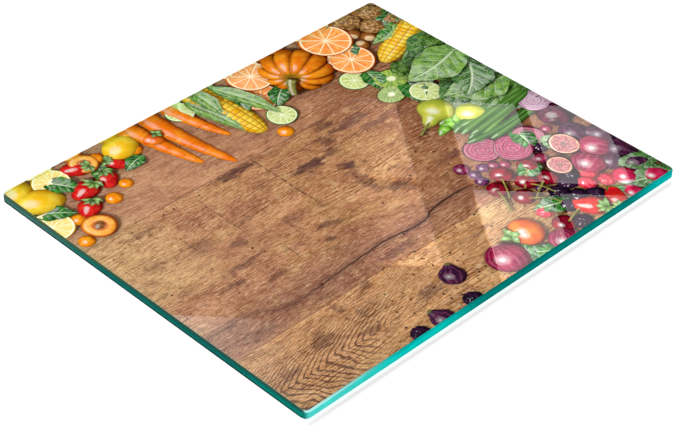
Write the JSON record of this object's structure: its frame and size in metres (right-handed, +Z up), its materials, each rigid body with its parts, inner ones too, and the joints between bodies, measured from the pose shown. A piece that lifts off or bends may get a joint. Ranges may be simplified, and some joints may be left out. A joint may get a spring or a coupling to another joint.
{
  "type": "glass cutting board",
  "caption": "Rectangular toughened glass cutting board with ground edges, a decorative print on its underside and small round bumper feet.",
  "frame": {"origin": "on the worktop under the middle of the board, level with the soles of the feet", "axes": "+X along the long side, +Y along the short side away from the front, +Z up out of the glass"},
  "size_m": [0.3, 0.25, 0.0104],
  "materials": {
    "glass": "polished, green at the edge",
    "printed_film": "printed in browns with a coloured border",
    "backing_film": "plain white",
    "foot": "smooth, milky clear",
    "adhesive": "matt"
  },
  "bodies": {
    "root": {"glass_pane": "glass", "printed_film": "printed_film", "backing_film": "backing_film", "foot_front_left": "foot", "foot_front_right": "foot", "foot_rear_left": "foot", "foot_rear_right": "foot", "foot_adhesive_front_left": "adhesive", "foot_adhesive_front_right": "adhesive", "foot_adhesive_rear_left": "adhesive", "foot_adhesive_rear_right": "adhesive"}
  },
  "joints": []
}
